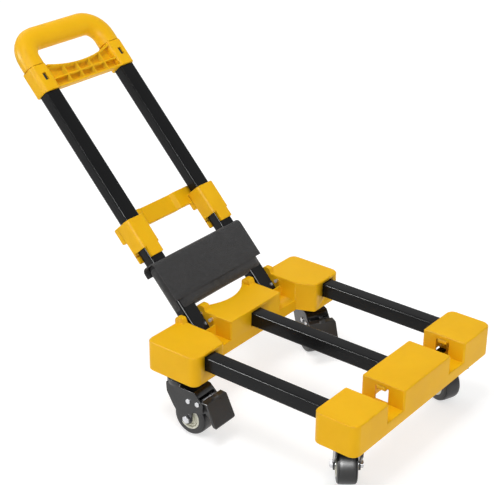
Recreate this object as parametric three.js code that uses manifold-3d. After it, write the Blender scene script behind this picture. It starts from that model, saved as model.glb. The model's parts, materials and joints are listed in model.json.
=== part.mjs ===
// A folding platform trolley: two hollow moulded crosspieces joined by three square deck
// tubes, four swivel casters, and a handle of two flat tubes that folds forward on hinge pins.
// Millimetres, +Z up, the floor at z = 0, +X to the right, the handle at the back (+Y).
import * as THREE from "three";
import { mergeVertices } from "three/addons/utils/BufferGeometryUtils.js";
import Module from "manifold-3d";

const wasm = await Module();
wasm.setup();

// ---- Driving dimensions ----
const ORIGIN_Y = 187.5; // from the middle of the deck back to the middle of the whole trolley
const GAP = 0.3; // clearance between touching pieces
const WALL = 3; // moulded wall thickness

// Deck: the raised blocks of both crosspieces share one top and one bottom level.
const HALF_WIDTH = 190;
const DECK_TOP = 145;
const DECK_BOTTOM = 93;
const NOTCH_FLOOR = 111.5;
const NOTCH_INNER = 65; // the handle tubes lie between these two half-widths when folded
const NOTCH_OUTER = 107.5;
const FRONT_FACE = -195;
const FRONT_BACK = -120;
const REAR_FRONT = 96; // front of the end blocks
const REAR_CENTRE_FRONT = 127;
const REAR_CENTRE_BACK = 180;
const REAR_HORN_BACK = 197; // the centre block's back is hollowed between two horns
const REST_LEDGE_BACK = 161.4; // the feet of the handle tubes lean on this ledge
const REST_LEDGE_TOP = 128.1;
const REAR_BACK = 195;
const CORNER = 13;
const EDGE = 2.2; // bevel of the raised tops
const SMALL_ROUND = 5; // corners under this radius get fewer facets

// Deck tubes: 25 mm square, running front to back.
const TUBE = 25;
const TUBE_WALL = 1.5;
const TUBE_Z = 127;
const TUBE_X = 154;
const SOCKET_WALL = 4;
const SCREW_R = 2;
const SCREW_HEAD_R = 4;

// Handle: built upright about its hinge, then leaned back.
const HINGE_Y = 189;
const HINGE_Z = 139;
const LEAN = THREE.MathUtils.degToRad(43.6);
const ARM_X = 86.75;
const ARM_W = 30;
const ARM_D = 21;
const ARM_FOOT = -27;
const ARM_TOP = 474;
const PIN_R = 4;
const STUD_R = 2.8;
const STUD_Y = 166;
const STUD_Z = 137;
const EAR_TOP = 153.5;
const REAR_EAR_FRONT = 180;
const EAR_WIDTH = 14;
const OUTER_EAR_WIDTH = 10;
const REAR_HORN_X = NOTCH_INNER - EAR_WIDTH;

const BRACE_FOOT = 117;
const BRACE_CUT = 135;
const BRACE_TOP = 186;
const BRACE_BAR_FOOT = 171;
const BRACE_BAR_TOP = 201;

const YOKE_FOOT = 430;
const YOKE_TOP = 477;
const GRIP_CENTRE = 526;
const GRIP_LONG = 20; // semi-axis of the grip in the plane of the handle
const GRIP_SHORT = 16.5;

const POUCH_HALF = 109;
const POUCH_FOOT = 15;
const POUCH_TOP = 105;
const POUCH_DEPTH = 13.5;

// Casters: 60 mm wheels, 93 mm from the floor to the crosspieces.
const CASTER_FRONT_X = 149;
const CASTER_FRONT_Y = -157.5;
const CASTER_REAR_X = 165;
const CASTER_REAR_Y = 144;
const TRAIL = 26.5;
const WHEEL_R = 30;
const WHEEL_HALF = 15.5;
const AXLE_R = 4;
const FORK_INNER = 17.6;
const FORK_OUTER = 20.2;
const FORK_TOP = 82;
const COVER_RIVET = [29, 63];
const PEDAL_PIVOT = [47, 64];
const PEDAL_HALF = 24;

// ---- Colours ----
const YELLOW = 0xf2b51a;
const BLACK = 0x202225;
const STEEL = 0xc4c6c8;
const RUBBER = 0x18191b;
const CREAM = 0xd5d5c2;
const FABRIC = 0x333437;

// ---- Solids ----
function solid(geometry) {
  const flat = geometry.index ? geometry.toNonIndexed() : geometry;
  const bare = new THREE.BufferGeometry();
  bare.setAttribute("position", flat.getAttribute("position"));
  const merged = mergeVertices(bare, 1e-4);
  return new wasm.Manifold(
    new wasm.Mesh({
      numProp: 3,
      vertProperties: new Float32Array(merged.attributes.position.array),
      triVerts: new Uint32Array(merged.index.array),
    }),
  );
}

const join = (...parts) => parts.reduce((a, b) => a.add(b));
const cut = (body, ...tools) => tools.reduce((a, b) => a.subtract(b), body);

function box(x0, x1, y0, y1, z0, z1) {
  const g = new THREE.BoxGeometry(x1 - x0, y1 - y0, z1 - z0);
  return solid(g.translate((x0 + x1) / 2, (y0 + y1) / 2, (z0 + z1) / 2));
}

// A cylinder of radius r between a and b along the axis "x", "y" or "z", centred on (u, v):
// the other two coordinates in the order x, y, z.
function rod(axis, r, a, b, u, v, segments = 14) {
  const g = new THREE.CylinderGeometry(r, r, b - a, segments);
  const mid = (a + b) / 2;
  if (axis === "x") g.rotateZ(-Math.PI / 2).translate(mid, u, v);
  if (axis === "y") g.translate(u, mid, v);
  if (axis === "z") g.rotateX(Math.PI / 2).translate(u, v, mid);
  return solid(g);
}

// A closed outline whose corner k is rounded by an arc of radius corners[k][2].
function roundedShape(corners) {
  const n = corners.length;
  const points = corners.flatMap(([x, y, r = 0], k) => {
    const here = new THREE.Vector2(x, y);
    if (!r) return [here];
    const unit = (j) => new THREE.Vector2(corners[j][0], corners[j][1]).sub(here).normalize();
    const back = unit((k + n - 1) % n);
    const ahead = unit((k + 1) % n);
    const half = Math.acos(back.dot(ahead)) / 2;
    const centre = back.clone().add(ahead).setLength(r / Math.sin(half));
    const spoke = back.clone().setLength(r / Math.tan(half)).sub(centre);
    const sweep = (Math.PI - 2 * half) * Math.sign(ahead.cross(back));
    const steps = r < SMALL_ROUND ? 2 : 5;
    return Array.from({ length: steps + 1 }, (_, i) =>
      spoke
        .clone()
        .rotateAround(new THREE.Vector2(), (sweep * i) / steps)
        .add(centre)
        .add(here),
    );
  });
  return new THREE.Shape(points);
}

const rectangle = (x0, x1, y0, y1, r) =>
  roundedShape([
    [x0, y0, r],
    [x1, y0, r],
    [x1, y1, r],
    [x0, y1, r],
  ]);

// An outline in X and Y raised from z0 to z1, with its top edge bevelled by `edge`.
function raise(shape, z0, z1, edge = 0, curveSegments = 5) {
  const g = new THREE.ExtrudeGeometry(shape, {
    depth: z1 - z0 - 2 * edge,
    curveSegments,
    bevelEnabled: edge > 0,
    bevelThickness: edge,
    bevelSize: edge,
    bevelOffset: -edge,
    bevelSegments: 1,
  });
  return solid(g.translate(0, 0, z0 + edge));
}

// An outline in Y and Z (or X and Z for "y") swept between a and b along an axis.
function slab(axis, shape, a, b, curveSegments = 5) {
  const g = new THREE.ExtrudeGeometry(shape, {
    depth: b - a,
    curveSegments,
    bevelEnabled: false,
  });
  if (axis === "x") g.rotateY(Math.PI / 2).rotateX(Math.PI / 2).translate(a, 0, 0);
  if (axis === "y") g.rotateX(Math.PI / 2).translate(0, b, 0);
  return solid(g);
}

function lathe(points, segments) {
  return new THREE.LatheGeometry(
    points.map(([r, h]) => new THREE.Vector2(r, h)),
    segments,
  );
}

// Everything is laid out about the middle of the deck, then moved so that the origin lies on
// the floor under the middle of the whole trolley, handle included.
const part = new THREE.Group();
part.name = "trolley";
part.position.y = -ORIGIN_Y;

function addMesh(group, name, body, colour, roughness = 0.5, metalness = 0) {
  const data = body.getMesh();
  const n = data.numProp;
  const positions = new Float32Array(data.numVert * 3);
  for (let i = 0; i < data.numVert; i++) {
    positions.set(data.vertProperties.subarray(i * n, i * n + 3), i * 3);
  }
  const g = new THREE.BufferGeometry();
  g.setAttribute("position", new THREE.BufferAttribute(positions, 3));
  g.setIndex(new THREE.BufferAttribute(data.triVerts, 1));
  g.computeVertexNormals();
  const material = new THREE.MeshStandardMaterial({ color: colour, roughness, metalness });
  const mesh = new THREE.Mesh(g, material);
  mesh.name = name;
  group.add(mesh);
}

const both = (make) => join(make(-1), make(1));
const mirrorX = ([a, b], side) => (side > 0 ? [a, b] : [-b, -a]);

// A box between the half-widths a and b on one side of the centre plane.
function sideBox(side, a, b, y0, y1, z0, z1) {
  const [x0, x1] = mirrorX([a, b], side);
  return box(x0, x1, y0, y1, z0, z1);
}

// ---- Crosspieces ----
const tubeFloor = TUBE_Z - TUBE / 2;
const tubeTop = TUBE_Z + TUBE / 2;

// The sleeve inside a crosspiece that holds a deck tube, from y0 to y1, before it is bored.
function tubeSleeve(x, y0, y1) {
  const reach = TUBE / 2 + SOCKET_WALL;
  return box(x - reach, x + reach, y0, y1, tubeFloor - SOCKET_WALL, DECK_TOP - WALL / 2);
}

function tubeBore(x, y0, y1) {
  const reach = TUBE / 2 + GAP;
  return box(x - reach, x + reach, y0, y1, tubeFloor - GAP, tubeTop + GAP);
}

// The boss that takes a caster's stem, webbed to the side walls and, from y0 to y1, to one end.
function casterBoss(side, cx, cy, y0, y1) {
  const x = side * cx;
  const foot = DECK_BOTTOM + 3;
  const top = tubeFloor - SOCKET_WALL + 1;
  const [x0, x1] = mirrorX([NOTCH_OUTER + 1, HALF_WIDTH - 1], side);
  return join(
    rod("z", 15, foot, top, x, cy, 16),
    box(x - 1.5, x + 1.5, y0, y1, foot + 2, top),
    box(x0, x1, cy - 1.5, cy + 1.5, foot + 2, top),
  );
}

const stemBore = (x, y) => rod("z", 6 + GAP, DECK_BOTTOM, tubeFloor - 5.5, x, y, 16);
const screwBore = (x, y) => rod("z", SCREW_R + GAP, 100, tubeFloor + 4, x, y, 12);

const FRONT_SCREW_Y = FRONT_FACE + 14;
const REAR_SCREW_Y = REAR_BACK - 18;
const CENTRE_SCREW_Y = REAR_CENTRE_BACK - 12;
const WINDOW_Y = [-167, -144];
const WINDOW_Z = [112.5, 136];

function frontCrosspiece() {
  const outline = (inset) =>
    rectangle(
      inset - HALF_WIDTH,
      HALF_WIDTH - inset,
      FRONT_FACE + inset,
      FRONT_BACK - inset,
      CORNER - inset,
    );
  const endBlock = (side, inset, z0, z1, edge) => {
    const a = side * (NOTCH_OUTER + inset);
    const b = side * (HALF_WIDTH - inset);
    const f = FRONT_FACE + inset;
    const k = FRONT_BACK - inset;
    const small = edge ? 3.5 : 0.5;
    const corners = [
      [a, f, small],
      [b, f, CORNER - inset],
      [b, k, CORNER - inset],
      [a, k, small],
    ];
    return raise(roundedShape(side > 0 ? corners : corners.reverse()), z0, z1, edge);
  };
  const middle = (inset, z0, z1, edge) =>
    raise(
      rectangle(
        inset - NOTCH_INNER,
        NOTCH_INNER - inset,
        FRONT_FACE + inset,
        FRONT_BACK - inset,
        edge ? 3.5 : 0.5,
      ),
      z0,
      z1,
      edge,
    );
  const shell = join(
    raise(outline(0), DECK_BOTTOM, NOTCH_FLOOR, 1.2),
    middle(0, DECK_BOTTOM + 4, DECK_TOP, EDGE),
    both((side) => endBlock(side, 0, DECK_BOTTOM + 4, DECK_TOP, EDGE)),
  );
  const hollow = join(
    raise(outline(WALL), DECK_BOTTOM - 1, NOTCH_FLOOR - WALL),
    middle(WALL, DECK_BOTTOM, DECK_TOP - WALL, 0),
    both((side) => endBlock(side, WALL, DECK_BOTTOM, DECK_TOP - WALL, 0)),
  );
  const sleeves = [-TUBE_X, 0, TUBE_X].map((x) => tubeSleeve(x, FRONT_FACE + 2, FRONT_BACK - 1));
  const bosses = both((side) =>
    casterBoss(side, CASTER_FRONT_X, CASTER_FRONT_Y, CASTER_FRONT_Y, FRONT_BACK - 1),
  );
  const bores = [-TUBE_X, 0, TUBE_X].flatMap((x) => [
    tubeBore(x, FRONT_FACE + 7, FRONT_BACK + 1),
    screwBore(x, FRONT_SCREW_Y),
  ]);
  const windows = [-1, 1].flatMap((side) => [
    sideBox(side, NOTCH_INNER - 4, NOTCH_INNER + 1, ...WINDOW_Y, ...WINDOW_Z),
    sideBox(side, NOTCH_OUTER - 1, NOTCH_OUTER + 4, ...WINDOW_Y, ...WINDOW_Z),
  ]);
  const tabY = [WINDOW_Y[0] + 4, WINDOW_Y[1] - 4];
  const tabZ = [WINDOW_Z[1] - 3, WINDOW_Z[1] + 2.5];
  const tabs = both((side) =>
    join(
      sideBox(side, NOTCH_INNER - 2.5, NOTCH_INNER + 2.5, ...tabY, ...tabZ),
      sideBox(side, NOTCH_OUTER - 2.5, NOTCH_OUTER + 2.5, ...tabY, ...tabZ),
    ),
  );
  return cut(
    join(cut(join(cut(shell, hollow), ...sleeves, bosses), ...windows), tabs),
    ...bores,
    stemBore(-CASTER_FRONT_X, CASTER_FRONT_Y),
    stemBore(CASTER_FRONT_X, CASTER_FRONT_Y),
  );
}

// A steel stud through a notch wall, beside the foot of a handle tube.
const studRod = (side, span, r) => rod("x", r, ...mirrorX(span, side), STUD_Y, STUD_Z, 12);

function rearCrosspiece() {
  const endCorners = (side, inset) => {
    const a = NOTCH_OUTER + inset;
    const b = HALF_WIDTH - inset;
    const f = REAR_FRONT + inset;
    const k = REAR_BACK - inset;
    const corners = [
      [a, REAR_CENTRE_FRONT + 1, 8],
      [NOTCH_OUTER + 14 + inset, f, 6],
      [b, f, CORNER - inset],
      [b, k, CORNER - inset],
      [a, k, 3.5],
    ].map(([x, y, r]) => [side * x, y, r]);
    return roundedShape(side > 0 ? corners : corners.reverse());
  };
  const back = (x) => {
    const share = Math.min(1, Math.abs(x) / REAR_HORN_X);
    return REAR_CENTRE_BACK + (REAR_HORN_BACK - REAR_CENTRE_BACK) * share ** 2;
  };
  // The centre block in plan, its back hollowed in a curve between the horns.
  const middle = (inset) => {
    const half = NOTCH_INNER - inset;
    const curve = [1, 0.8, 0.6, 0.4, 0.2, 0, -0.2, -0.4, -0.6, -0.8, -1].map((t) => [
      t * (REAR_HORN_X + inset),
      back(t * REAR_HORN_X) - inset,
    ]);
    return roundedShape([
      [-half, REAR_CENTRE_FRONT + inset, 3.5],
      [half, REAR_CENTRE_FRONT + inset, 3.5],
      [half, REAR_HORN_BACK - inset],
      ...curve,
      [-half, REAR_HORN_BACK - inset],
    ]);
  };
  const stripX = NOTCH_OUTER + 6;
  const strip = (inset, z0, z1) =>
    box(-stripX, stripX, REAR_CENTRE_FRONT + inset, REST_LEDGE_BACK - inset, z0, z1);
  const shell = join(
    strip(0, DECK_BOTTOM, NOTCH_FLOOR),
    raise(middle(0), DECK_BOTTOM, DECK_TOP, 1),
    both((side) => raise(endCorners(side, 0), DECK_BOTTOM, DECK_TOP, EDGE)),
  );
  const hollow = join(
    strip(WALL, 90, NOTCH_FLOOR - WALL),
    raise(middle(WALL), 90, DECK_TOP - WALL),
    both((side) => raise(endCorners(side, WALL), 90, DECK_TOP - WALL)),
  );
  const earShape = roundedShape([
    [REAR_EAR_FRONT - 8, NOTCH_FLOOR - 2],
    [REAR_BACK + 3, NOTCH_FLOOR - 2, 4],
    [REAR_BACK + 3, EAR_TOP, 6],
    [REAR_EAR_FRONT + 4, EAR_TOP, 3],
    [REAR_EAR_FRONT, DECK_TOP - 1, 4],
    [REAR_EAR_FRONT - 8, DECK_TOP - 1],
  ]);
  const ear = (side, a, b) => slab("x", earShape, ...mirrorX([a, b], side));
  const ears = both((side) =>
    join(
      ear(side, REAR_HORN_X, NOTCH_INNER),
      ear(side, NOTCH_OUTER, NOTCH_OUTER + OUTER_EAR_WIDTH),
    ),
  );
  const ledges = both((side) =>
    sideBox(
      side,
      NOTCH_INNER - 1,
      NOTCH_OUTER + 1,
      REST_LEDGE_BACK - 3.5,
      REST_LEDGE_BACK,
      NOTCH_FLOOR - 1,
      REST_LEDGE_TOP,
    ),
  );
  const sleeves = join(
    tubeSleeve(0, REAR_CENTRE_FRONT + 1, REAR_CENTRE_BACK - 1),
    both((side) => tubeSleeve(side * TUBE_X, REAR_FRONT + 1, REAR_BACK - 1)),
  );
  const bosses = both((side) =>
    casterBoss(side, CASTER_REAR_X, CASTER_REAR_Y, REAR_FRONT + 1, CASTER_REAR_Y),
  );
  const hingeBores = both((side) => {
    const ends = mirrorX([REAR_HORN_X - 20, NOTCH_OUTER + OUTER_EAR_WIDTH + 8], side);
    return rod("x", PIN_R + GAP, ...ends, HINGE_Y, HINGE_Z, 16);
  });
  const studBores = both((side) =>
    join(
      studRod(side, [NOTCH_INNER - 5, NOTCH_INNER + 2], STUD_R + GAP),
      studRod(side, [NOTCH_OUTER - 2, NOTCH_OUTER + 5], STUD_R + GAP),
    ),
  );
  return cut(
    join(cut(shell, hollow), ears, ledges, sleeves, bosses),
    hingeBores,
    studBores,
    tubeBore(0, REAR_CENTRE_FRONT - 1, REAR_CENTRE_BACK - 6),
    tubeBore(-TUBE_X, REAR_FRONT - 1, REAR_BACK - 7),
    tubeBore(TUBE_X, REAR_FRONT - 1, REAR_BACK - 7),
    screwBore(0, CENTRE_SCREW_Y),
    screwBore(-TUBE_X, REAR_SCREW_Y),
    screwBore(TUBE_X, REAR_SCREW_Y),
    stemBore(-CASTER_REAR_X, CASTER_REAR_Y),
    stemBore(CASTER_REAR_X, CASTER_REAR_Y),
  );
}

addMesh(part, "front_crosspiece", frontCrosspiece(), YELLOW, 0.42);
addMesh(part, "rear_crosspiece", rearCrosspiece(), YELLOW, 0.42);

// ---- Deck tubes and their screws ----
function deckTube(x, y0, y1, screwYs) {
  const shape = rectangle(-TUBE / 2, TUBE / 2, -TUBE / 2, TUBE / 2, 3);
  const inner = TUBE / 2 - TUBE_WALL;
  shape.holes.push(rectangle(-inner, inner, -inner, inner, 1.6));
  const g = new THREE.ExtrudeGeometry(shape, {
    depth: y1 - y0,
    curveSegments: 4,
    bevelEnabled: false,
  });
  g.rotateX(Math.PI / 2).translate(x, y1, TUBE_Z);
  return cut(solid(g), ...screwYs.map((y) => screwBore(x, y)));
}

// A pan-head screw driven upwards, its head below z.
function screw(x, y, z) {
  const points = [
    [0, -3],
    [SCREW_HEAD_R - 1, -3],
    [SCREW_HEAD_R, -1.6],
    [SCREW_HEAD_R, -GAP],
    [SCREW_R, -GAP],
    [SCREW_R, 7],
    [0, 7],
  ];
  return solid(lathe(points, 10).rotateX(Math.PI / 2).translate(x, y, z));
}

const sleeveFloor = tubeFloor - SOCKET_WALL;
for (const [name, x, back, screwY] of [
  ["left", -TUBE_X, REAR_BACK - 8, REAR_SCREW_Y],
  ["centre", 0, REAR_CENTRE_BACK - 7, CENTRE_SCREW_Y],
  ["right", TUBE_X, REAR_BACK - 8, REAR_SCREW_Y],
]) {
  const tube = deckTube(x, FRONT_FACE + 8, back, [FRONT_SCREW_Y, screwY]);
  addMesh(part, `deck_tube_${name}`, tube, BLACK, 0.35, 0.3);
  addMesh(part, `deck_screw_front_${name}`, screw(x, FRONT_SCREW_Y, sleeveFloor), STEEL, 0.3, 0.9);
  addMesh(part, `deck_screw_rear_${name}`, screw(x, screwY, sleeveFloor), STEEL, 0.3, 0.9);
}

// ---- Hinge pins and guide studs ----
for (const [name, side] of [
  ["left", -1],
  ["right", 1],
]) {
  const span = mirrorX([REAR_HORN_X + 1, NOTCH_OUTER + OUTER_EAR_WIDTH - 1], side);
  const pin = rod("x", PIN_R, ...span, HINGE_Y, HINGE_Z, 16);
  const armEdge = ARM_W / 2 + GAP;
  const inner = studRod(side, [NOTCH_INNER - 2.5, ARM_X - armEdge], STUD_R);
  const outer = studRod(side, [ARM_X + armEdge, NOTCH_OUTER + 2.5], STUD_R);
  addMesh(part, `hinge_pin_${name}`, pin, STEEL, 0.3, 0.9);
  addMesh(part, `guide_stud_inner_${name}`, inner, STEEL, 0.3, 0.9);
  addMesh(part, `guide_stud_outer_${name}`, outer, STEEL, 0.3, 0.9);
}

// ---- Handle, upright about the hinge: X across, -Y its front, Z along the tubes ----
const handle = new THREE.Group();
handle.name = "handle";
handle.rotation.x = -LEAN;
handle.position.set(0, HINGE_Y, HINGE_Z);
part.add(handle);

const armHole = (x, z0, z1) =>
  raise(
    rectangle(
      x - ARM_W / 2 - GAP,
      x + ARM_W / 2 + GAP,
      -ARM_D / 2 - GAP,
      ARM_D / 2 + GAP,
      3.3,
    ),
    z0,
    z1,
  );

function arm(x) {
  const outline = (inset, r) =>
    rectangle(
      x - ARM_W / 2 + inset,
      x + ARM_W / 2 - inset,
      inset - ARM_D / 2,
      ARM_D / 2 - inset,
      r,
    );
  const shape = outline(0, 3);
  shape.holes.push(outline(TUBE_WALL, 1.6));
  return cut(
    raise(shape, ARM_FOOT, ARM_TOP, 0, 4),
    rod("x", PIN_R + GAP, x - 20, x + 20, 0, 0, 20),
  );
}

// The cap pushed into a tube's foot: a plug inside the wall and a flat end.
function armPlug(x) {
  const inner = TUBE_WALL + GAP;
  const outline = (inset, r) =>
    rectangle(
      x - ARM_W / 2 + inset,
      x + ARM_W / 2 - inset,
      inset - ARM_D / 2,
      ARM_D / 2 - inset,
      r,
    );
  return join(
    raise(outline(0.2, 2.8), ARM_FOOT - 1.8, ARM_FOOT - GAP, 0, 3),
    raise(outline(inner, 1.3), ARM_FOOT - 1, ARM_FOOT + 3.6, 0, 3),
  );
}

// Two sockets on the tubes, open at the sides near their feet, joined by a bar at the back
// that steps out over the centre deck tube when the handle is folded.
function handleBrace() {
  const front = -ARM_D / 2 - 5;
  const back = ARM_D / 2 + 5;
  const socket = (side) => {
    const [x0, x1] = mirrorX([67, 107], side);
    const [t0, t1] = mirrorX([73.5, 100], side);
    const block = raise(
      roundedShape([
        [x0, front, 7],
        [x1, front, 7],
        [x1, back, 3],
        [x0, back, 3],
      ]),
      BRACE_FOOT,
      BRACE_TOP,
      1.2,
    );
    return cut(
      block,
      box(x0 - 1, t0, front - 1, back - 4.5, BRACE_FOOT - 1, BRACE_CUT),
      box(t1, x1 + 1, front - 1, back - 4.5, BRACE_FOOT - 1, BRACE_CUT),
    );
  };
  const lobe = (side) => {
    const [x0, x1] = mirrorX([67, 107], side);
    return raise(rectangle(x0, x1, back - 3, back + 11, 5), 158, BRACE_TOP, 1.5);
  };
  const bar = raise(
    roundedShape([
      [-80, back + 1],
      [-42, back + 1, 2],
      [-34, back + 6, 2],
      [34, back + 6, 2],
      [42, back + 1, 2],
      [80, back + 1],
      [80, back + 11],
      [44, back + 11, 2],
      [36, back + 16, 2],
      [-36, back + 16, 2],
      [-44, back + 11, 2],
      [-80, back + 11],
    ]),
    BRACE_BAR_FOOT,
    BRACE_BAR_TOP,
    1,
  );
  return cut(
    join(bar, both(socket), both(lobe)),
    armHole(-ARM_X, 100, 220),
    armHole(ARM_X, 100, 220),
    both((side) => rod("y", SCREW_R + GAP, 0, back + 20, side * ARM_X, 170, 12)),
    both((side) => rod("x", 1.8, ...mirrorX([60, 115], side), back - 3, BRACE_CUT - 5, 8)),
  );
}

// A screw through the back of a handle fitting into its tube, head against y.
function backScrew(x, y, s) {
  const points = [
    [0, -9],
    [SCREW_R, -9],
    [SCREW_R, GAP],
    [SCREW_HEAD_R, GAP],
    [SCREW_HEAD_R, 1.6],
    [SCREW_HEAD_R - 1, 3],
    [0, 3],
  ];
  return solid(lathe(points, 10).translate(x, y, s));
}

// The sockets that hold the grip, the ribbed panel between them and a slot in each front.
function yoke() {
  const front = -ARM_D / 2 - 5;
  const back = ARM_D / 2 + 5;
  const panelFront = front + 1;
  const panelBack = panelFront + 13;
  const socket = (side) => {
    const [x0, x1] = mirrorX([69, 105], side);
    return raise(
      roundedShape([
        [x0, front, 10],
        [x1, front, 10],
        [x1, back, 6],
        [x0, back, 6],
      ]),
      YOKE_FOOT,
      YOKE_TOP,
      1.2,
    );
  };
  const panelShape = new THREE.Shape();
  panelShape.moveTo(-71, YOKE_FOOT);
  panelShape.lineTo(71, YOKE_FOOT);
  panelShape.lineTo(71, YOKE_TOP - 4);
  panelShape.quadraticCurveTo(0, YOKE_TOP - 26, -71, YOKE_TOP - 4);
  panelShape.closePath();
  const pocketShape = new THREE.Shape();
  pocketShape.moveTo(-73, YOKE_FOOT + 3);
  pocketShape.lineTo(73, YOKE_FOOT + 3);
  pocketShape.lineTo(73, YOKE_TOP - 6);
  pocketShape.quadraticCurveTo(0, YOKE_TOP - 29.5, -73, YOKE_TOP - 6);
  pocketShape.closePath();
  const panel = cut(
    slab("y", panelShape, panelFront, panelBack, 10),
    slab("y", pocketShape, panelFront - 1, panelBack - 3, 10),
  );
  const grid = slab("y", panelShape, panelFront + 0.6, panelBack - 1, 10);
  const uprights = [-42, -14, 14, 42].map((x) =>
    box(x - 1.2, x + 1.2, panelFront - 1, panelBack, YOKE_FOOT, YOKE_TOP),
  );
  const level = box(-70, 70, panelFront - 1, panelBack, YOKE_FOOT + 15, YOKE_FOOT + 17.4);
  const ribs = grid.intersect(join(...uprights, level));
  return cut(
    join(panel, ribs, both(socket)),
    armHole(-ARM_X, YOKE_FOOT - 1, YOKE_TOP + 1),
    armHole(ARM_X, YOKE_FOOT - 1, YOKE_TOP + 1),
    both((side) => {
      const x = side * (ARM_X + 1);
      return box(x - 3.6, x + 3.6, front - 1, 0, 448, 461);
    }),
  );
}

// The loop: one tube of oval section from socket to socket.
function gripLoop() {
  const bend = 34;
  const path = new THREE.CurvePath();
  const a = new THREE.Vector3(-ARM_X, 0, YOKE_TOP + GAP);
  const b = new THREE.Vector3(-ARM_X, 0, GRIP_CENTRE - bend);
  const b1 = new THREE.Vector3(-ARM_X, 0, GRIP_CENTRE - bend * 0.45);
  const c1 = new THREE.Vector3(-ARM_X + bend * 0.45, 0, GRIP_CENTRE);
  const c = new THREE.Vector3(-ARM_X + bend, 0, GRIP_CENTRE);
  const flip = (v) => new THREE.Vector3(-v.x, v.y, v.z);
  path.add(new THREE.LineCurve3(a, b));
  path.add(new THREE.CubicBezierCurve3(b, b1, c1, c));
  path.add(new THREE.LineCurve3(c, flip(c)));
  path.add(new THREE.CubicBezierCurve3(flip(c), flip(c1), flip(b1), flip(b)));
  path.add(new THREE.LineCurve3(flip(b), flip(a)));
  const section = new THREE.Shape();
  section.absellipse(0, 0, GRIP_SHORT, GRIP_LONG, 0, 2 * Math.PI);
  const g = new THREE.ExtrudeGeometry(section, {
    steps: 36,
    curveSegments: 8,
    bevelEnabled: false,
    extrudePath: path,
  });
  return solid(g);
}

// A thin spring plate inside the tube, showing as a dark tongue in the socket's slot.
function springPlate(x) {
  const y = -ARM_D / 2;
  return box(x - 3.2, x + 3.2, y - 2.4, y - GAP - 0.3, 448.5, 460.5);
}

// The pouch wraps both tubes: a flat bag between them, open at the top under its flap.
function pouch() {
  const outer = raise(
    rectangle(-POUCH_HALF, POUCH_HALF, -POUCH_DEPTH, POUCH_DEPTH, 5),
    POUCH_FOOT,
    POUCH_TOP,
    2,
  );
  return cut(
    outer,
    armHole(-ARM_X, POUCH_FOOT - 1, POUCH_TOP + 1),
    armHole(ARM_X, POUCH_FOOT - 1, POUCH_TOP + 1),
    box(-66, 66, -POUCH_DEPTH + 3, POUCH_DEPTH - 3, POUCH_FOOT + 3, POUCH_TOP + 1),
  );
}

for (const [name, side] of [
  ["left", -1],
  ["right", 1],
]) {
  const x = side * ARM_X;
  addMesh(handle, `handle_tube_${name}`, arm(x), BLACK, 0.35, 0.3);
  addMesh(handle, `tube_plug_${name}`, armPlug(x), BLACK, 0.6);
  addMesh(handle, `brace_screw_${name}`, backScrew(x, ARM_D / 2 + 16, 170), STEEL, 0.3, 0.9);
  addMesh(handle, `yoke_spring_${name}`, springPlate(side * (ARM_X + 1)), BLACK, 0.5);
}
addMesh(handle, "handle_brace", handleBrace(), YELLOW, 0.42);
addMesh(handle, "handle_yoke", yoke(), YELLOW, 0.42);
addMesh(handle, "grip_loop", gripLoop(), YELLOW, 0.5);
addMesh(handle, "pouch", pouch(), FABRIC, 0.95);

// ---- Casters, each built about its swivel: X along the trail, Z up from the floor ----
const AXLE_Z = WHEEL_R;

// The top plate with its stem in the crosspiece, the raceway below and the kingpin down
// through the fork. The plate reaches from x0 to x1 and y0 to y1 about the swivel.
function casterMount(x0, x1, y0, y1) {
  const plate = DECK_BOTTOM + GAP;
  const points = [
    [0, FORK_TOP - 9],
    [7, FORK_TOP - 9],
    [7, FORK_TOP - 3 - GAP],
    [5, FORK_TOP - 3 - GAP],
    [5, FORK_TOP + 8 + GAP],
    [22, FORK_TOP + 8 + GAP],
    [22, plate + 0.4],
    [6, plate + 0.4],
    [6, tubeFloor - 7],
    [0, tubeFloor - 7],
  ];
  const turned = solid(lathe(points, 18).rotateX(Math.PI / 2));
  return join(turned, raise(rectangle(x0, x1, y0, y1, 6), plate, plate + 2.4));
}

function forkOutline(brake) {
  const r = 8.5;
  const near = brake
    ? [
        [-14, 66, 5],
        [-2, 46, 8],
        [8, 33, 4],
        [TRAIL - r - 4, AXLE_Z - r, r - 0.5],
      ]
    : [
        [-12, 68, 6],
        [TRAIL - r - 3, 40, 5],
        [TRAIL - r, AXLE_Z - r, r - 0.5],
      ];
  const far = brake
    ? [
        [TRAIL + 9, 45, 4],
        [56, 49, 4],
        [58, 66, 5],
        [40, FORK_TOP, 3],
      ]
    : [
        [TRAIL + 5, 44, 5],
        [31, 66, 5],
        [24, FORK_TOP, 2],
      ];
  return roundedShape([
    [-14.9, FORK_TOP],
    [-14.9, FORK_TOP - 5, 3],
    ...near,
    [TRAIL + r, AXLE_Z - r, r - 0.5],
    ...far,
  ]);
}

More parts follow.
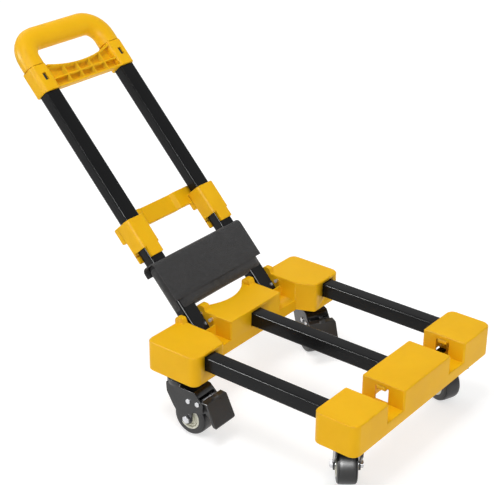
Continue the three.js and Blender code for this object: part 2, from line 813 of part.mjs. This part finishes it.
function fork(brake) {
  const side = (y0, y1) => slab("y", forkOutline(brake), y0, y1);
  const cup = rod("z", 23, FORK_TOP - 0.5, FORK_TOP + 8, 0, 0, 20);
  const reach = FORK_OUTER - 1;
  const bridge = box(-14, brake ? 38 : 23, -reach, reach, FORK_TOP - 3, FORK_TOP);
  const body = join(
    side(-FORK_OUTER, -FORK_INNER),
    side(FORK_INNER, FORK_OUTER),
    bridge,
    cut(cup, rod("z", 15, FORK_TOP, FORK_TOP + 9, 0, 0, 16)),
  );
  const holes = [
    rod("z", 5 + GAP, FORK_TOP - 5, FORK_TOP + 10, 0, 0, 16),
    rod("y", AXLE_R + GAP, -24, 24, TRAIL, AXLE_Z, 14),
  ];
  if (!brake) return cut(body, ...holes);
  // The cover between the plates, sloping down behind the wheel.
  const cover = slab(
    "y",
    roundedShape([
      [36, FORK_TOP - 3],
      [38, FORK_TOP - 3],
      [47, 73],
      [48.5, 75],
      [40, FORK_TOP],
      [36, FORK_TOP],
    ]),
    -reach,
    reach,
  );
  return cut(
    join(body, cover),
    ...holes,
    rod("y", 2.5 + GAP, -24, 24, ...PEDAL_PIVOT, 12),
    rod("y", 2.5 + GAP, -24, -10, ...COVER_RIVET, 12),
  );
}

// The axle bolt with its hexagon head and nut, a washer's gap outside the fork.
function axle() {
  const a = FORK_OUTER + GAP;
  return join(
    rod("y", AXLE_R, -a - 4.6, a + 4.6, TRAIL, AXLE_Z, 14),
    rod("y", 6.6, -a - 4, -a, TRAIL, AXLE_Z, 6),
    rod("y", 6.6, a, a + 4, TRAIL, AXLE_Z, 6),
  );
}

function tyre() {
  const inner = 18.3;
  const points = [
    [inner, -WHEEL_HALF],
    [WHEEL_R - 5, -WHEEL_HALF],
    [WHEEL_R - 1.6, -WHEEL_HALF + 2.6],
    [WHEEL_R, -WHEEL_HALF + 7],
    [WHEEL_R, WHEEL_HALF - 7],
    [WHEEL_R - 1.6, WHEEL_HALF - 2.6],
    [WHEEL_R - 5, WHEEL_HALF],
    [inner, WHEEL_HALF],
    [inner, -WHEEL_HALF],
  ];
  return solid(lathe(points, 28).translate(TRAIL, 0, AXLE_Z));
}

function hub() {
  const [bore, boss, ring, outer] = [AXLE_R + 0.1, 8, 13.5, 18];
  const [proud, sunk] = [WHEEL_HALF + 0.6, WHEEL_HALF - 4.5];
  const half = [
    [bore, proud],
    [boss, proud],
    [boss + 1, sunk],
    [ring, sunk],
    [ring + 0.8, WHEEL_HALF + 0.4],
    [outer, WHEEL_HALF + 0.4],
  ];
  const points = [...half.map(([r, h]) => [r, -h]), ...half.reverse(), [bore, -proud]];
  return solid(lathe(points, 20).translate(TRAIL, 0, AXLE_Z));
}

// A brake pedal: a sloping plate with a nub on its top edge, on two lugs that turn on a rivet,
// and a shoe between the lugs that closes on the tyre.
function pedal() {
  const plate = slab(
    "y",
    roundedShape([
      [58, 75, 1],
      [68.5, 73.5, 2],
      [86, 37, 2],
      [84.5, 34, 1],
      [81, 35, 1],
      [66.5, 70.5, 1],
      [58, 72],
    ]),
    -PEDAL_HALF,
    PEDAL_HALF,
  );
  const face = slab(
    "x",
    rectangle(-PEDAL_HALF, PEDAL_HALF, 33, 77, 7),
    50,
    90,
  );
  const lugShape = roundedShape([
    [41, 61.5, 4],
    [47, 58, 4],
    [60, 52, 3],
    [80, 36, 1],
    [83.5, 37],
    [67.5, 71],
    [60, 73, 1],
    [47, 70, 4],
    [41, 67, 4],
  ]);
  const edge = FORK_INNER - GAP;
  const lug = (y0) => slab("y", lugShape, y0, y0 + 2.5);
  const nub = box(62, 68, -5, 5, 72, 78);
  const shoeShape = roundedShape([
    [53.9, 47.1],
    [58, 50],
    [62, 56],
    [52, 62],
    [49.3, 52.8],
  ]);
  const shoe = slab("y", shoeShape, 1 - edge, edge - 1);
  return cut(
    join(plate.intersect(face), lug(-edge), lug(edge - 2.5), shoe, nub),
    rod("y", 2.5 + GAP, -20, 20, ...PEDAL_PIVOT, 14),
  );
}

function rivet(x, z, y0, y1) {
  return join(
    rod("y", 2.5, y0 - 1.4, y1 + 1.4, x, z, 12),
    rod("y", 4, y0 - 1.4, y0, x, z, 12),
    rod("y", 4, y1, y1 + 1.4, x, z, 12),
  );
}

for (const [name, x, y, heading, brake] of [
  ["rear_left", -CASTER_REAR_X, CASTER_REAR_Y, 271, true],
  ["rear_right", CASTER_REAR_X, CASTER_REAR_Y, 239, true],
  ["front_left", -CASTER_FRONT_X, CASTER_FRONT_Y, 38, false],
  ["front_right", CASTER_FRONT_X, CASTER_FRONT_Y, 68, false],
]) {
  const [x0, x1] = brake ? mirrorX([-34, 19], Math.sign(x)) : [-33, 33];
  const mount = new THREE.Group();
  mount.position.set(x, y, 0);
  part.add(mount);
  addMesh(mount, `caster_mount_${name}`, casterMount(x0, x1, -29, 29), BLACK, 0.4, 0.4);

  const caster = new THREE.Group();
  caster.name = `caster_${name}`;
  caster.position.set(x, y, 0);
  caster.rotation.z = THREE.MathUtils.degToRad(heading);
  part.add(caster);
  addMesh(caster, `fork_${name}`, fork(brake), BLACK, 0.3, 0.4);
  addMesh(caster, `axle_${name}`, axle(), STEEL, 0.25, 0.9);
  addMesh(caster, `tyre_${name}`, tyre(), RUBBER, 0.8);
  addMesh(caster, `hub_${name}`, hub(), CREAM, 0.5);
  if (!brake) continue;
  const a = FORK_OUTER + GAP;
  const coverRivet = rivet(...COVER_RIVET, -a, -FORK_INNER + GAP);
  addMesh(caster, `brake_pedal_${name}`, pedal(), BLACK, 0.5);
  addMesh(caster, `pedal_rivet_${name}`, rivet(...PEDAL_PIVOT, -a, a), STEEL, 0.25, 0.9);
  addMesh(caster, `fork_rivet_${name}`, coverRivet, STEEL, 0.25, 0.9);
}

const trolley = new THREE.Group();
trolley.name = "folding_platform_trolley";
trolley.add(part);

export default trolley;
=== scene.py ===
"""The looks of a folding platform trolley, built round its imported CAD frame. Metres, Z up.

Rigid CAD nodes are shown by smoothed copies with rounded shading; the pouch, the tyres and the
hubs are built here. Each piece rides on the body of the node it stands for.
"""

import json
import math

import bmesh
import bpy
import numpy as np
from mathutils import Matrix, Vector

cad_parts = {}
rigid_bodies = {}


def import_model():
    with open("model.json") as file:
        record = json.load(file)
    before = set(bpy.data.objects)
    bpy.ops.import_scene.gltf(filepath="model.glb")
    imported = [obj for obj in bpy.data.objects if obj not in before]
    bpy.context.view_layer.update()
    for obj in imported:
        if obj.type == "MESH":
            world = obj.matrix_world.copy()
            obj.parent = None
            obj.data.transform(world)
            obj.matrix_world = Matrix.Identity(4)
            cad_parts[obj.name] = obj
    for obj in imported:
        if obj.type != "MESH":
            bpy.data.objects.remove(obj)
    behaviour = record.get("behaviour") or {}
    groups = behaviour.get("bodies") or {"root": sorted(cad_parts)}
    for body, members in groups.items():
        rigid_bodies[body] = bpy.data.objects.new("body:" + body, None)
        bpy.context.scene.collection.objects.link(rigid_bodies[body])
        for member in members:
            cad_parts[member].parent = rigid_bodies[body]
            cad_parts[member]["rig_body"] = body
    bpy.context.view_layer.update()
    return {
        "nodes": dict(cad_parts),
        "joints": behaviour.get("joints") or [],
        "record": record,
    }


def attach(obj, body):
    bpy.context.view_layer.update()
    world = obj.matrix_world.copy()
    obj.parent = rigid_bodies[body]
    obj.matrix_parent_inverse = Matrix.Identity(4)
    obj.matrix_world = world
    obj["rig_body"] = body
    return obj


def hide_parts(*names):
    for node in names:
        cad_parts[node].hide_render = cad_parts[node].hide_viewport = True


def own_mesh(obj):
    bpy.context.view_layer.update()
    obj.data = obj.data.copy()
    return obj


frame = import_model()
nodes = frame["nodes"]


def joint(name):
    for entry in frame["joints"]:
        if entry["name"] == name:
            return entry
    raise KeyError(name)


SOFTEN_ANGLE = math.radians(50)  # edges flatter than this are shaded round
LEAN = math.radians(43.6)  # of the handle at rest, back from upright
HINGE = Vector(joint("handle_fold")["pos_m"])
HANDLE = Matrix.Translation(HINGE) @ Matrix.Rotation(-LEAN, 4, "X")
WEAVE = 0.0007  # width of one thread of the pouch's cloth


# ---- Materials ----
class Tree:
    """A material's node tree, with short calls for adding and joining nodes."""

    def __init__(self, name):
        self.material = bpy.data.materials.new(name)
        self.material.use_nodes = True
        self.nodes = self.material.node_tree.nodes
        self.links = self.material.node_tree.links
        self.shader = self.nodes["Principled BSDF"]

    def add(self, kind, **values):
        node = self.nodes.new(kind)
        for key, value in values.items():
            if hasattr(node, key):
                setattr(node, key, value)
            else:
                node.inputs[key.replace("_", " ")].default_value = value
        return node

    def join(self, a, out, b, into):
        self.links.new(a.outputs[out], b.inputs[into])

    def ramp(self, source, out, stops):
        node = self.add("ShaderNodeValToRGB")
        ramp = node.color_ramp
        while len(ramp.elements) < len(stops):
            ramp.elements.new(0.5)
        for element, (position, colour) in zip(ramp.elements, stops):
            element.position = position
            element.color = (*colour, 1)
        self.join(source, out, node, "Fac")
        return node

    def place(self):
        return self.add("ShaderNodeTexCoord")

    def noise(self, scale, detail=4.0, roughness=0.5, stretch=None):
        """Noise in object space, in features per metre, optionally stretched along an axis."""
        where = self.place()
        node = self.add("ShaderNodeTexNoise", Scale=scale, Detail=detail, Roughness=roughness)
        if stretch is None:
            self.join(where, "Object", node, "Vector")
            return node
        mapping = self.add("ShaderNodeMapping")
        mapping.inputs["Scale"].default_value = stretch
        self.join(where, "Object", mapping, "Vector")
        self.join(mapping, "Vector", node, "Vector")
        return node


def grey(value):
    return (value, value, value)


def rounded_edges(tree, radius):
    """Normals blended over sharp edges, so that they catch the light as moulded edges do."""
    return tree.add("ShaderNodeBevel", samples=6, Radius=radius)


def solid_material(name, colours, roughness, edge, bump, metallic=0, **fixed):
    """Colour mottled between two tones, roughness between two values, and a fine surface grain.

    edge is the radius over which edges are blended, and bump the grain's scale and strength."""
    grain_scale, grain_strength = bump
    tree = Tree(name)
    shader = tree.shader
    mottle = tree.noise(14, detail=6, roughness=0.6)
    colour = tree.ramp(mottle, "Fac", [(0.3, colours[0]), (0.7, colours[1])])
    tree.join(colour, "Color", shader, "Base Color")
    smear = tree.noise(55, detail=5, roughness=0.65)
    rough = tree.ramp(smear, "Fac", [(0.3, grey(roughness[0])), (0.75, grey(roughness[1]))])
    tree.join(rough, "Color", shader, "Roughness")
    grain = tree.noise(grain_scale, detail=3)
    relief = tree.add("ShaderNodeBump", Strength=grain_strength, Distance=0.0004)
    tree.join(grain, "Fac", relief, "Height")
    tree.join(rounded_edges(tree, edge), "Normal", relief, "Normal")
    tree.join(relief, "Normal", shader, "Normal")
    shader.inputs["Metallic"].default_value = metallic
    for socket, value in fixed.items():
        shader.inputs[socket.replace("_", " ")].default_value = value
    return tree


def yellow_material():
    tree = solid_material(
        "yellow_plastic",
        [(0.78, 0.415, 0.002), (0.84, 0.46, 0.004)],
        (0.38, 0.48),
        edge=0.0012,
        bump=(1500, 0.05),
        Specular_IOR_Level=0.12,
    )
    tree.shader.inputs["Subsurface Weight"].default_value = 0.12
    tree.shader.inputs["Subsurface Scale"].default_value = 0.002
    tree.shader.inputs["Subsurface Radius"].default_value = (1.0, 0.45, 0.1)
    return tree.material


def metal_material():
    tree = solid_material(
        "bright_steel",
        [(0.55, 0.56, 0.58), (0.68, 0.68, 0.7)],
        (0.22, 0.42),
        edge=0.0004,
        bump=(2500, 0.08),
        metallic=1,
    )
    return tree.material


def fabric_material(name, dark, light):
    """A plain weave: two crossing sets of threads, with slubs and a soft sheen."""
    tree = Tree(name)
    shader = tree.shader
    where = tree.place()
    lay = tree.add("ShaderNodeMapping")
    lay.inputs["Rotation"].default_value = (LEAN, 0, 0)
    tree.join(where, "Object", lay, "Vector")
    waves = []
    for axis in ("X", "Z"):
        wave = tree.add("ShaderNodeTexWave", wave_type="BANDS", bands_direction=axis)
        wave.inputs["Scale"].default_value = 1 / WEAVE / 3.14
        wave.inputs["Distortion"].default_value = 1.2
        wave.inputs["Detail"].default_value = 2
        wave.inputs["Detail Scale"].default_value = 1.5
        tree.join(lay, "Vector", wave, "Vector")
        waves.append(wave)
    weave = tree.add("ShaderNodeMath", operation="MULTIPLY")
    tree.join(waves[0], "Fac", weave, 0)
    tree.join(waves[1], "Fac", weave, 1)
    slub = tree.noise(160, detail=5, roughness=0.7)
    tone = tree.add("ShaderNodeMath", operation="MULTIPLY_ADD")
    tone.inputs[1].default_value = 0.45
    tree.join(weave, "Value", tone, 0)
    tree.join(slub, "Fac", tone, 2)
    colour = tree.ramp(tone, "Value", [(0.35, dark), (0.95, light)])
    tree.join(colour, "Color", shader, "Base Color")
    rough = tree.ramp(slub, "Fac", [(0.3, grey(0.82)), (0.7, grey(0.95))])
    tree.join(rough, "Color", shader, "Roughness")
    relief = tree.add("ShaderNodeBump", Strength=0.5, Distance=0.0004)
    tree.join(weave, "Value", relief, "Height")
    creases = tree.noise(28, detail=3, stretch=(1, 1.6, 1.6))
    folds = tree.add("ShaderNodeBump", Strength=0.35, Distance=0.003)
    tree.join(creases, "Fac", folds, "Height")
    tree.join(folds, "Normal", relief, "Normal")
    tree.join(relief, "Normal", shader, "Normal")
    shader.inputs["Sheen Weight"].default_value = 0.25
    shader.inputs["Sheen Roughness"].default_value = 0.5
    shader.inputs["Specular IOR Level"].default_value = 0.2
    return tree.material


LOOKS = {
    "yellow_plastic": yellow_material(),
    "deck_tube_paint": solid_material(
        "deck_tube_paint",
        [(0.0030, 0.0031, 0.0035), (0.0050, 0.0052, 0.0057)],
        (0.20, 0.30),
        edge=0.0009,
        bump=(1800, 0.03),
        Specular_IOR_Level=0.16,
    ).material,
    "handle_tube_coat": solid_material(
        "handle_tube_coat",
        [(0.0028, 0.0029, 0.0033), (0.0046, 0.0048, 0.0053)],
        (0.18, 0.28),
        edge=0.0009,
        bump=(1800, 0.03),
        Specular_IOR_Level=0.16,
    ).material,
    "fork_paint": solid_material(
        "fork_paint",
        [(0.009, 0.009, 0.010), (0.014, 0.014, 0.015)],
        (0.16, 0.28),
        edge=0.0008,
        bump=(1200, 0.05),
    ).material,
    "black_plastic": solid_material(
        "black_plastic",
        [(0.012, 0.012, 0.013), (0.018, 0.018, 0.019)],
        (0.26, 0.4),
        edge=0.0009,
        bump=(1600, 0.08),
    ).material,
    "bright_steel": metal_material(),
    "tyre_rubber": solid_material(
        "tyre_rubber",
        [(0.009, 0.009, 0.0095), (0.016, 0.016, 0.017)],
        (0.3, 0.5),
        edge=0.0006,
        bump=(1400, 0.12),
    ).material,
    "hub_plastic": solid_material(
        "hub_plastic",
        [(0.62, 0.61, 0.50), (0.70, 0.69, 0.58)],
        (0.34, 0.46),
        edge=0.0005,
        bump=(1400, 0.05),
    ).material,
    "pouch_fabric": fabric_material("pouch_fabric", (0.010, 0.010, 0.011), (0.036, 0.036, 0.038)),
}
THREAD = solid_material(
    "pouch_thread",
    [grey(0.02), grey(0.045)],
    (0.6, 0.8),
    edge=0.0001,
    bump=(3000, 0.2),
).material


# ---- Pieces ----
def dress(obj, slot, material=None):
    obj.data.materials.clear()
    obj.data.materials.append(material or LOOKS[slot])


def soften(mesh, angle=SOFTEN_ANGLE):
    mesh.polygons.foreach_set("use_smooth", [True] * len(mesh.polygons))
    mesh.set_sharp_from_angle(angle=angle)


def link(name, mesh):
    obj = bpy.data.objects.new(name, mesh)
    bpy.context.scene.collection.objects.link(obj)
    return obj


def slot_of(node):
    for entry in frame["record"]["subparts"]:
        if entry["node"] == node:
            return entry["material_slot"]
    raise KeyError(node)


def body_of(node):
    return nodes[node]["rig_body"]


def smooth_copy(node):
    """A copy of a CAD node with its flat faces whole and its small facets shaded round."""
    mesh = bpy.data.meshes.new(node + "_look")
    bm = bmesh.new()
    bm.from_mesh(nodes[node].data)
    bmesh.ops.remove_doubles(bm, verts=bm.verts, dist=2e-5)
    bmesh.ops.dissolve_limit(
        bm, angle_limit=math.radians(0.5), verts=bm.verts, edges=bm.edges
    )
    bm.to_mesh(mesh)
    bm.free()
    soften(mesh)
    obj = link(node + "_look", mesh)
    weigh = obj.modifiers.new("weigh", "WEIGHTED_NORMAL")
    weigh.keep_sharp = True
    dress(obj, slot_of(node))
    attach(obj, body_of(node))
    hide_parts(node)
    return obj


def lathe(name, profile, segments, place):
    """A closed profile of (radius, height) pairs turned about the Y axis."""
    bm = bmesh.new()
    rings = []
    for k in range(segments):
        a = 2 * math.pi * k / segments
        rings.append([bm.verts.new((r * math.cos(a), h, r * math.sin(a))) for r, h in profile])
    count = len(profile)
    for k in range(segments):
        one, two = rings[k], rings[(k + 1) % segments]
        for j in range(count):
            i = (j + 1) % count
            bm.faces.new((one[j], one[i], two[i], two[j]))
    bmesh.ops.recalc_face_normals(bm, faces=bm.faces)
    mesh = bpy.data.meshes.new(name)
    bm.to_mesh(mesh)
    bm.free()
    mesh.transform(place)
    soften(mesh, math.radians(38))
    return link(name, mesh)


# ---- Wheels ----
WHEEL_R = 0.030
HALF = 0.0155  # half the tyre's width
ARC_STEPS = 4


def rounded_profile(points):
    """A closed outline whose corners (r, h, round) are replaced by short arcs."""
    outline = []
    count = len(points)
    for k, (r, h, rounding) in enumerate(points):
        here = Vector((r, h))
        if not rounding:
            outline.append((r, h))
            continue
        back = (Vector(points[k - 1][:2]) - here).normalized() * rounding
        ahead = (Vector(points[(k + 1) % count][:2]) - here).normalized() * rounding
        for i in range(ARC_STEPS + 1):
            t = i / ARC_STEPS
            point = here + back * (1 - t) ** 2 + ahead * t**2
            outline.append(tuple(point))
    return outline


def wheel_profile(side):
    """The whole outline from one side's points: radius, height past the tyre's side, rounding."""
    near = [(r, -HALF - past, rounding) for r, past, rounding in side]
    far = [(r, HALF + past, rounding) for r, past, rounding in reversed(side)]
    return rounded_profile(near + far)


TYRE = wheel_profile(
    [
        (0.0196, 0, 0),
        (0.0245, 0, 0.001),
        (0.0285, -0.0008, 0.0025),
        (WHEEL_R, -0.0055, 0.003),
    ]
)
HUB = wheel_profile(
    [
        (0.0043, 0.0005, 0),
        (0.0078, 0.0005, 0.0008),
        (0.0088, -0.0045, 0.0008),
        (0.0118, -0.0045, 0.0008),
        (0.0124, -0.0015, 0.0006),
        (0.0140, -0.0015, 0.0006),
        (0.0147, -0.0040, 0.0006),
        (0.0156, -0.0040, 0.0006),
        (0.0163, 0.0003, 0.0006),
        (0.0192, 0.0003, 0.0006),
    ]
)
CASTERS = ("rear_left", "rear_right", "front_left", "front_right")


def add_wheel(caster):
    roll = joint("roll_" + caster)
    turn = Vector((0, 1, 0)).rotation_difference(Vector(roll["axis"])).to_matrix().to_4x4()
    place = Matrix.Translation(roll["pos_m"]) @ turn
    for kind, profile, segments in (("tyre", TYRE, 96), ("hub", HUB, 72)):
        node = f"{kind}_{caster}"
        wheel = lathe(node + "_look", profile, segments, place)
        dress(wheel, slot_of(node))
        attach(wheel, body_of(node))
        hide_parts(node)


for caster in CASTERS:
    add_wheel(caster)


# ---- The pouch ----
POUCH = dict(half=0.109, depth=0.0135, foot=0.015, top=0.105)
ARM_X = 0.08675
ARM_HALF = (0.0153, 0.0108)
BAG_INSET = dict(side=0.0035, face=0.0018, foot=0.001, top=0.002)
BAG_ROUND = 0.006
VOXEL = 0.004
PRESSURE = 4
MOST_SWELL = 0.003
CLOTH_FRAMES = 20
FLAP_FOOT = 0.036
FLAP_BACK = 0.09  # height at which the flap starts, behind the bag
FLAP_THICK = 0.0016
FLAP_BEND = 0.007
FLAP_OFF = 0.0003  # the flap's clearance from the bag
FLAP_COLUMNS = 48
STITCH_ROWS = (FLAP_FOOT + 0.003, FLAP_FOOT + 0.0075)
STITCH_PITCH = 0.0034
STITCH_LENGTH = 0.0022
STITCH_WIDTH = 0.0005


def block(name, x0, x1, y0, y1, z0, z1, rounding):
    """A box with rounded edges, in the handle's upright frame."""
    bm = bmesh.new()
    bmesh.ops.create_cube(bm, size=1)
    for v in bm.verts:
        v.co = Vector(
            (
                x0 if v.co.x < 0 else x1,
                y0 if v.co.y < 0 else y1,
                z0 if v.co.z < 0 else z1,
            )
        )
    bmesh.ops.bevel(
        bm,
        geom=list(bm.edges),
        offset=rounding,
        segments=3,
        profile=0.5,
        affect="EDGES",
    )
    mesh = bpy.data.meshes.new(name)
    bm.to_mesh(mesh)
    bm.free()
    return link(name, mesh)


def evaluated(obj):
    """The object's mesh with its modifiers applied, and the modifiers removed."""
    depsgraph = bpy.context.evaluated_depsgraph_get()
    mesh = bpy.data.meshes.new_from_object(obj.evaluated_get(depsgraph))
    obj.modifiers.clear()
    obj.data = mesh
    return obj


def remesh(obj, size):
    modifier = obj.modifiers.new("remesh", "REMESH")
    modifier.mode = "VOXEL"
    modifier.voxel_size = size
    return evaluated(obj)


def inflate(obj):
    """Blows the mesh up as cloth, then holds each point within MOST_SWELL of where it began."""
    start = np.array([v.co[:] for v in obj.data.vertices])
    cloth = obj.modifiers.new("cloth", "CLOTH")
    cloth.settings.use_pressure = True
    cloth.settings.uniform_pressure_force = PRESSURE
    cloth.settings.effector_weights.gravity = 0
    cloth.point_cache.frame_start = 1
    cloth.point_cache.frame_end = CLOTH_FRAMES
    scene = bpy.context.scene
    for number in range(1, CLOTH_FRAMES + 1):
        scene.frame_set(number)
    evaluated(obj)
    scene.frame_set(1)
    moved = np.array([v.co[:] for v in obj.data.vertices]) - start
    length = np.linalg.norm(moved, axis=1, keepdims=True)
    held = start + moved * np.minimum(1, MOST_SWELL / np.maximum(length, 1e-9))
    obj.data.vertices.foreach_set("co", held.astype(np.float32).ravel())
    obj.data.update()
    return obj


def subtract(obj, tool):
    modifier = obj.modifiers.new("cut", "BOOLEAN")
    modifier.operation = "DIFFERENCE"
    modifier.solver = "EXACT"
    modifier.object = tool
    evaluated(obj)
    bpy.data.objects.remove(tool)
    return obj


def pouch_body():
    bag = block(
        "pouch_bag",
        BAG_INSET["side"] - POUCH["half"],
        POUCH["half"] - BAG_INSET["side"],
        BAG_INSET["face"] - POUCH["depth"],
        POUCH["depth"] - BAG_INSET["face"],
        POUCH["foot"] + BAG_INSET["foot"],
        POUCH["top"] - BAG_INSET["top"],
        BAG_ROUND,
    )
    remesh(bag, VOXEL)
    inflate(bag)
    bag.modifiers.new("smooth", "SUBSURF").render_levels = 1
    evaluated(bag)
    for side in (-1, 1):
        x = side * ARM_X
        hole = block(
            "arm_hole",
            x - ARM_HALF[0],
            x + ARM_HALF[0],
            -ARM_HALF[1],
            ARM_HALF[1],
            -0.02,
            0.2,
            0.003,
        )
        subtract(bag, hole)
    return bag


def strip(name, path, thick, x_half, columns, shape):
    """A band of cloth following `path` in the Y and Z of the handle's frame, across its X.

    shape(x, t) gives how far a point stands off the path, t running along it from 0 to 1."""
    bm = bmesh.new()
    rows = len(path)
    normals = []
    for k in range(rows):
        a, b = Vector(path[max(k - 1, 0)]), Vector(path[min(k + 1, rows - 1)])
        along = (b - a).normalized()
        normals.append(Vector((along.y, -along.x)))
    sides = []
    for offset in (0, thick):
        grid = []
        for k, (y, z) in enumerate(path):
            t = k / (rows - 1)
            row = []
            for j in range(columns + 1):
                x = x_half * (2 * j / columns - 1)
                stand = offset + shape(x / x_half, t)
                n = normals[k] * stand
                row.append(bm.verts.new((x, y + n.x, z + n.y)))
            grid.append(row)
        sides.append(grid)
    inner, outer = sides
    for k in range(rows - 1):
        for j in range(columns):
            bm.faces.new((inner[k][j], inner[k][j + 1], inner[k + 1][j + 1], inner[k + 1][j]))
            bm.faces.new((outer[k][j], outer[k + 1][j], outer[k + 1][j + 1], outer[k][j + 1]))
    for k in range(rows - 1):
        for j in (0, columns):
            bm.faces.new((inner[k][j], inner[k + 1][j], outer[k + 1][j], outer[k][j]))
    for k in (0, rows - 1):
        for j in range(columns):
            bm.faces.new((inner[k][j], inner[k][j + 1], outer[k][j + 1], outer[k][j]))
    bmesh.ops.recalc_face_normals(bm, faces=bm.faces)
    mesh = bpy.data.meshes.new(name)
    bm.to_mesh(mesh)
    bm.free()
    return link(name, mesh)


def flap_path():
    """From the back of the pouch over its top and down its front (-Y) to the flap's hem."""
    front, back = -POUCH["depth"] - FLAP_OFF, POUCH["depth"] + FLAP_OFF
    top = POUCH["top"] + FLAP_OFF
    r = FLAP_BEND
    points = [(back, z) for z in np.linspace(FLAP_BACK, top - r, 3)]
    for k in range(1, 7):
        a = math.pi / 2 * k / 6
        points.append((back - r + r * math.cos(a), top - r + r * math.sin(a)))
    points += [(y, top) for y in np.linspace(back - r, front + r, 4)[1:-1]]
    for k in range(0, 7):
        a = math.pi / 2 * k / 6
        points.append((front + r - r * math.sin(a), top - r + r * math.cos(a)))
    points += [(front, z) for z in np.linspace(top - r, FLAP_FOOT, 14)[1:]]
    return points


def flap_stand(x, t):
    """The flap lies loosely: slightly proud in the middle of its front, wavy along the hem."""
    loose = 0.0008 * max(0, (t - 0.5) / 0.5) * (1 - x * x)
    wave = 0.0005 * max(0, (t - 0.6) / 0.4) * math.sin(5.1 * x + 1.3)
    return max(0, loose + wave)


def stitch_row(name, s, x_half, y):
    """One row of thread stitches across the pouch's front at height s."""
    bm = bmesh.new()
    shape = Matrix.Diagonal((STITCH_LENGTH, STITCH_WIDTH, STITCH_WIDTH, 1))
    for k in range(int(2 * x_half / STITCH_PITCH)):
        x = -x_half + (k + 0.5) * STITCH_PITCH
        place = Matrix.Translation((x, y, s)) @ shape
        bmesh.ops.create_icosphere(bm, subdivisions=1, radius=0.5, matrix=place)
    mesh = bpy.data.meshes.new(name)
    bm.to_mesh(mesh)
    bm.free()
    mesh.polygons.foreach_set("use_smooth", [True] * len(mesh.polygons))
    return link(name, mesh)


def settle_pouch(obj, material):
    """Puts a pouch piece in place, to ride with the handle."""
    obj.data.transform(HANDLE)
    dress(obj, "pouch_fabric", material)
    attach(obj, "handle")
    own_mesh(obj)


def add_pouch():
    bag = pouch_body()
    soften(bag.data, math.radians(60))
    settle_pouch(bag, LOOKS["pouch_fabric"])
    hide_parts("pouch")

    flap_half = POUCH["half"] - 0.0006
    path = flap_path()
    flap = strip("pouch_flap", path, FLAP_THICK, flap_half, FLAP_COLUMNS, flap_stand)
    soften(flap.data, math.radians(60))
    settle_pouch(flap, LOOKS["pouch_fabric"])

    front_y = -POUCH["depth"] - FLAP_THICK - 0.0008
    for number, s in enumerate(STITCH_ROWS):
        row = stitch_row(f"pouch_stitches_{number}", s, POUCH["half"] - 0.004, front_y)
        settle_pouch(row, THREAD)


add_pouch()


# ---- Every other node ----
BUILT_HERE = {"pouch"} | {f"{kind}_{c}" for kind in ("tyre", "hub") for c in CASTERS}
for node in sorted(nodes):
    if node not in BUILT_HERE:
        smooth_copy(node)


# ---- Camera, floor and lights ----
CAMERA_PLACE = (-1.47294, -1.19014, 1.15895)
CAMERA_BACK = Vector((-0.71011, -0.55293, 0.43590))  # from the view's centre to the camera
CAMERA_ROLL = math.radians(0.53)
LENS = 95.07
SENSOR = 36
FLOOR_HALF = 12
SURROUND = 0.62  # strength of the world, and of the floor's own light


def camera():
    back = CAMERA_BACK.normalized()
    right = Vector((0, 0, 1)).cross(back).normalized()
    up = back.cross(right)
    across = right * math.cos(CAMERA_ROLL) + up * math.sin(CAMERA_ROLL)
    upward = up * math.cos(CAMERA_ROLL) - right * math.sin(CAMERA_ROLL)
    data = bpy.data.cameras.new("camera")
    data.sensor_fit = "HORIZONTAL"
    data.sensor_width = SENSOR
    data.lens = LENS
    obj = bpy.data.objects.new("camera", data)
    bpy.context.scene.collection.objects.link(obj)
    turn = Matrix((across, upward, back)).transposed().to_4x4()
    obj.matrix_world = Matrix.Translation(CAMERA_PLACE) @ turn
    bpy.context.scene.camera = obj


def floor():
    bm = bmesh.new()
    bmesh.ops.create_grid(bm, x_segments=1, y_segments=1, size=FLOOR_HALF)
    mesh = bpy.data.meshes.new("floor")
    bm.to_mesh(mesh)
    bm.free()
    obj = link("floor", mesh)
    tree = Tree("floor")
    tint = tree.noise(1.5, detail=2)
    tone = tree.ramp(tint, "Fac", [(0.3, grey(0.5)), (0.7, grey(0.52))])
    tree.join(tone, "Color", tree.shader, "Base Color")
    tree.shader.inputs["Roughness"].default_value = 0.95
    tree.shader.inputs["Specular IOR Level"].default_value = 0.1
    tree.shader.inputs["Emission Color"].default_value = (1, 1, 1, 1)
    tree.shader.inputs["Emission Strength"].default_value = SURROUND
    obj.data.materials.append(tree.material)


def area_light(name, place, target, size, power, glint=False):
    """A glint lights only what mirrors it: it draws the bright lines along rounded edges."""
    data = bpy.data.lights.new(name, "AREA")
    data.shape = "RECTANGLE"
    data.size, data.size_y = size
    data.energy = power
    obj = bpy.data.objects.new(name, data)
    bpy.context.scene.collection.objects.link(obj)
    place, target = Vector(place), Vector(target)
    obj.location = place
    obj.rotation_euler = (target - place).to_track_quat("-Z", "Y").to_euler()
    obj.visible_diffuse = not glint


def lights():
    middle = (0, -0.1, 0.2)
    area_light("key", (-0.9, -0.2, 2.8), middle, (1.0, 1.0), 33)
    area_light("fill", (1.8, -1.8, 1.4), middle, (1.2, 1.2), 2)
    area_light("back", (0.4, 2.2, 2.2), middle, (1.6, 0.6), 12)
    area_light("glint_front", (-2.2, -1.5, 1.7), middle, (0.9, 0.9), 150, glint=True)
    area_light("glint_side", (-1.9, 1.45, 1.2), middle, (0.8, 0.5), 120, glint=True)
    world = bpy.data.worlds.new("studio")
    world.use_nodes = True
    sky = world.node_tree.nodes["Background"]
    sky.inputs["Color"].default_value = (1, 1, 1, 1)
    sky.inputs["Strength"].default_value = SURROUND
    bpy.context.scene.world = world


camera()
floor()
lights()
bpy.context.scene.view_settings.view_transform = "Standard"
